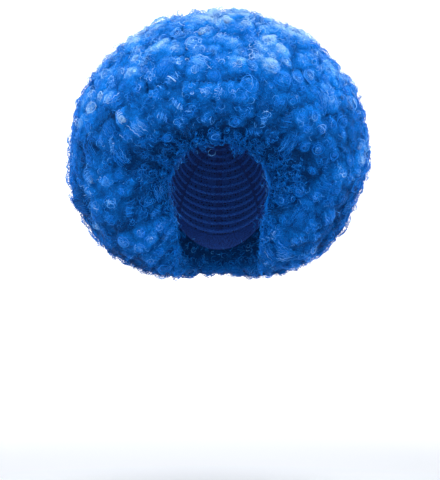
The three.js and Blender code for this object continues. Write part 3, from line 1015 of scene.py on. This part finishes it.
def joined(solids):
    """Several solids' points and triangles as one."""
    points, faces, first = [], [], 0
    for made, corners in solids:
        points.append(made)
        faces.append(corners + first)
        first += len(made)
    return np.concatenate(points), np.concatenate(faces)


net_wall = inner_wall("cap_net", np.linspace(*NET_FALLS, NET_STEPS), CAP_TURNS)
net_sections = np.concatenate([raised(net_wall, CAP_THICKNESS), net_wall[:, ::-1]], axis=1)
dress(mesh_object("cap_net_mesh", *looped(net_sections)), "cap_net",
      stretch_net("nylon_net_knitted"))


def tape(name, fall, width, thickness, turns):
    """A tape round the inside of the cap, with rounded edges."""
    half = math.degrees(width / 2 / CAP_RADIUS)
    falls = fall + half * np.array([-1, -0.8, 0, 0.8, 1])
    wall = inner_wall(name, falls, turns)
    heights = -thickness * np.array([0.5, 0.95, 1, 0.95, 0.5])[None, :, None]
    back = raised(wall, TAPE_BACK)[:, ::-1]
    return looped(np.concatenate([back, raised(wall, heights)], axis=1))


tapes = [tape("cap_net", fall, WEFT_WIDTH, WEFT_THICKNESS, CAP_TURNS) for fall in WEFT_FALLS]
dress(mesh_object("cap_net_wefts", *joined(tapes)), "cap_net",
      woven_tape("polyester_tape_stitched", "#1a5cc4", "#082a66"))

low, high = (inner_wall("cap_net", np.array(WEFT_FALLS) + side * STITCH_REACH, STITCHES)
             for side in (-1, 1))
zigzag = np.where((np.arange(STITCHES) % 2 == 0)[:, None, None], low, high)
zigzag = raised(np.concatenate([zigzag, zigzag[:1]]), -WEFT_THICKNESS - THREAD_PROUD).swapaxes(0, 1)
stitches = Lots()
add_strands(stitches, zigzag, THREAD_RADIUS, np.full(zigzag.shape[:2], TONES["thread"]),
            -POLE * np.ones((len(zigzag), 3)), np.zeros(len(zigzag)))
dress(mesh_object("cap_net_stitches", *stitches.of_node(0)), "cap_net",
      woven_tape("polyester_thread_twisted", "#2f7ce6", "#0d459c"))

straps = []
strap_wall = inner_wall("cap_net", np.linspace(*STRAP_FALLS, STRAP_STEPS), CAP_TURNS)
for k in range(STRAPS):
    turn = k * CAP_TURNS // STRAPS
    middle = strap_wall[turn]
    side = unit(np.cross(unit(middle - CAP_CENTRE), np.gradient(middle, axis=0)))
    edges = [raised(middle + side * STRAP_WIDTH * x, STRAP_FACES[face]) for x, face in
             ((-0.5, 0), (0.5, 0), (0.45, 1), (-0.45, 1))]
    straps.append(looped(np.stack(edges, axis=1), closed=False))
dress(mesh_object("cap_net_straps", *joined(straps)), "cap_net",
      woven_tape("elastic_tape_woven", "#0d3a8a", "#051c48"))

band_falls = np.linspace(*BAND_FALLS, 2 * BAND_RIBS + 1)
band_wall = inner_wall("edge_band", np.clip(band_falls, BAND_FALLS[0] + 0.1, BAND_FALLS[1] - 0.1),
                       CAP_TURNS)
ribbed = raised(band_wall, -RIB_DEPTH * (np.arange(len(band_falls)) % 2)[None, :, None])
band_sections = np.concatenate([raised(band_wall, CAP_THICKNESS), ribbed[:, ::-1]], axis=1)
dress(mesh_object("edge_band_elastic", *looped(band_sections)), "edge_band",
      woven_tape("polyester_elastic_woven", "#124aa6", "#061f50"))


# The studio

FLOOR_RADIUS = 14
FLOOR_HEIGHT = -0.62
LAMP_SIZE = 1.0
LAMP_BEAM = 30
WALL_GLOW = 1.45

# Each lamp's name, place, aim and power in watts
LAMPS = [
    ("key_light", (0.1, -1.5, 2.1), (0, 0, 0.08), 1.6),
    ("top_light", (0, -0.2, 2.2), (0, 0.05, 0.1), 2.2),
    ("left_light", (-3.0, -0.9, 0.1), (0, 0, 0), 3.2),
    ("right_light", (3.0, -0.9, 0.1), (0, 0, 0), 3.2),
]

bpy.ops.mesh.primitive_circle_add(vertices=128, radius=FLOOR_RADIUS, fill_type="NGON",
                                  location=(0, 0, FLOOR_HEIGHT))
floor = bpy.context.object
floor.name = "studio_floor"
floor.data.materials.append(studio_paint("emulsion_paint_white"))

for name, place, aim, power in LAMPS:
    lamp = bpy.data.lights.new(name, "AREA")
    lamp.shape = "DISK"
    lamp.size = LAMP_SIZE
    lamp.energy = power
    lamp.spread = math.radians(LAMP_BEAM)
    made = placed(name, lamp)
    made.location = place
    made.rotation_euler = (Vector(aim) - Vector(place)).to_track_quat("-Z", "Y").to_euler()

# The studio's walls are white at eye level and darker above, where only the lamps are
world = bpy.data.worlds.new("studio")
world.use_nodes = True
world.node_tree.nodes.clear()
sky = add_node(world, "ShaderNodeTexCoord", {}, {})
height = add_node(world, "ShaderNodeSeparateXYZ", {}, {0: sky.outputs["Generated"]})
walls = add_node(world, "ShaderNodeValToRGB", {}, {"Fac": height.outputs[2]},
                 [(0.16, "#ffffff"), (0.4, "#989ca4")])
glow = add_node(world, "ShaderNodeBackground", {},
                {"Color": walls.outputs["Color"], "Strength": WALL_GLOW})
add_node(world, "ShaderNodeOutputWorld", {}, {"Surface": glow.outputs["Background"]})
bpy.context.scene.world = world
bpy.context.scene.view_settings.view_transform = "Standard"

# The camera stands level, 2.6 m in front. The photo's 440 by 480 pixels are 1.5 mm each at the
# ball's widest.
CAMERA_DISTANCE = 2.6
WIDEST_BEHIND = 0.045
PIXEL = 1.5 * MM
PICTURE_HEIGHT = 480 * PIXEL
CAMERA_HEIGHT = -0.18
SENSOR_HEIGHT = 24
camera = bpy.data.cameras.new("camera")
camera.sensor_fit = "VERTICAL"
camera.sensor_height = SENSOR_HEIGHT
camera.lens = SENSOR_HEIGHT * (CAMERA_DISTANCE + WIDEST_BEHIND) / PICTURE_HEIGHT
camera_object = placed("camera", camera)
camera_object.location = (PIXEL, -CAMERA_DISTANCE, CAMERA_HEIGHT)
camera_object.rotation_euler = (math.radians(90), 0, 0)
bpy.context.scene.camera = camera_object
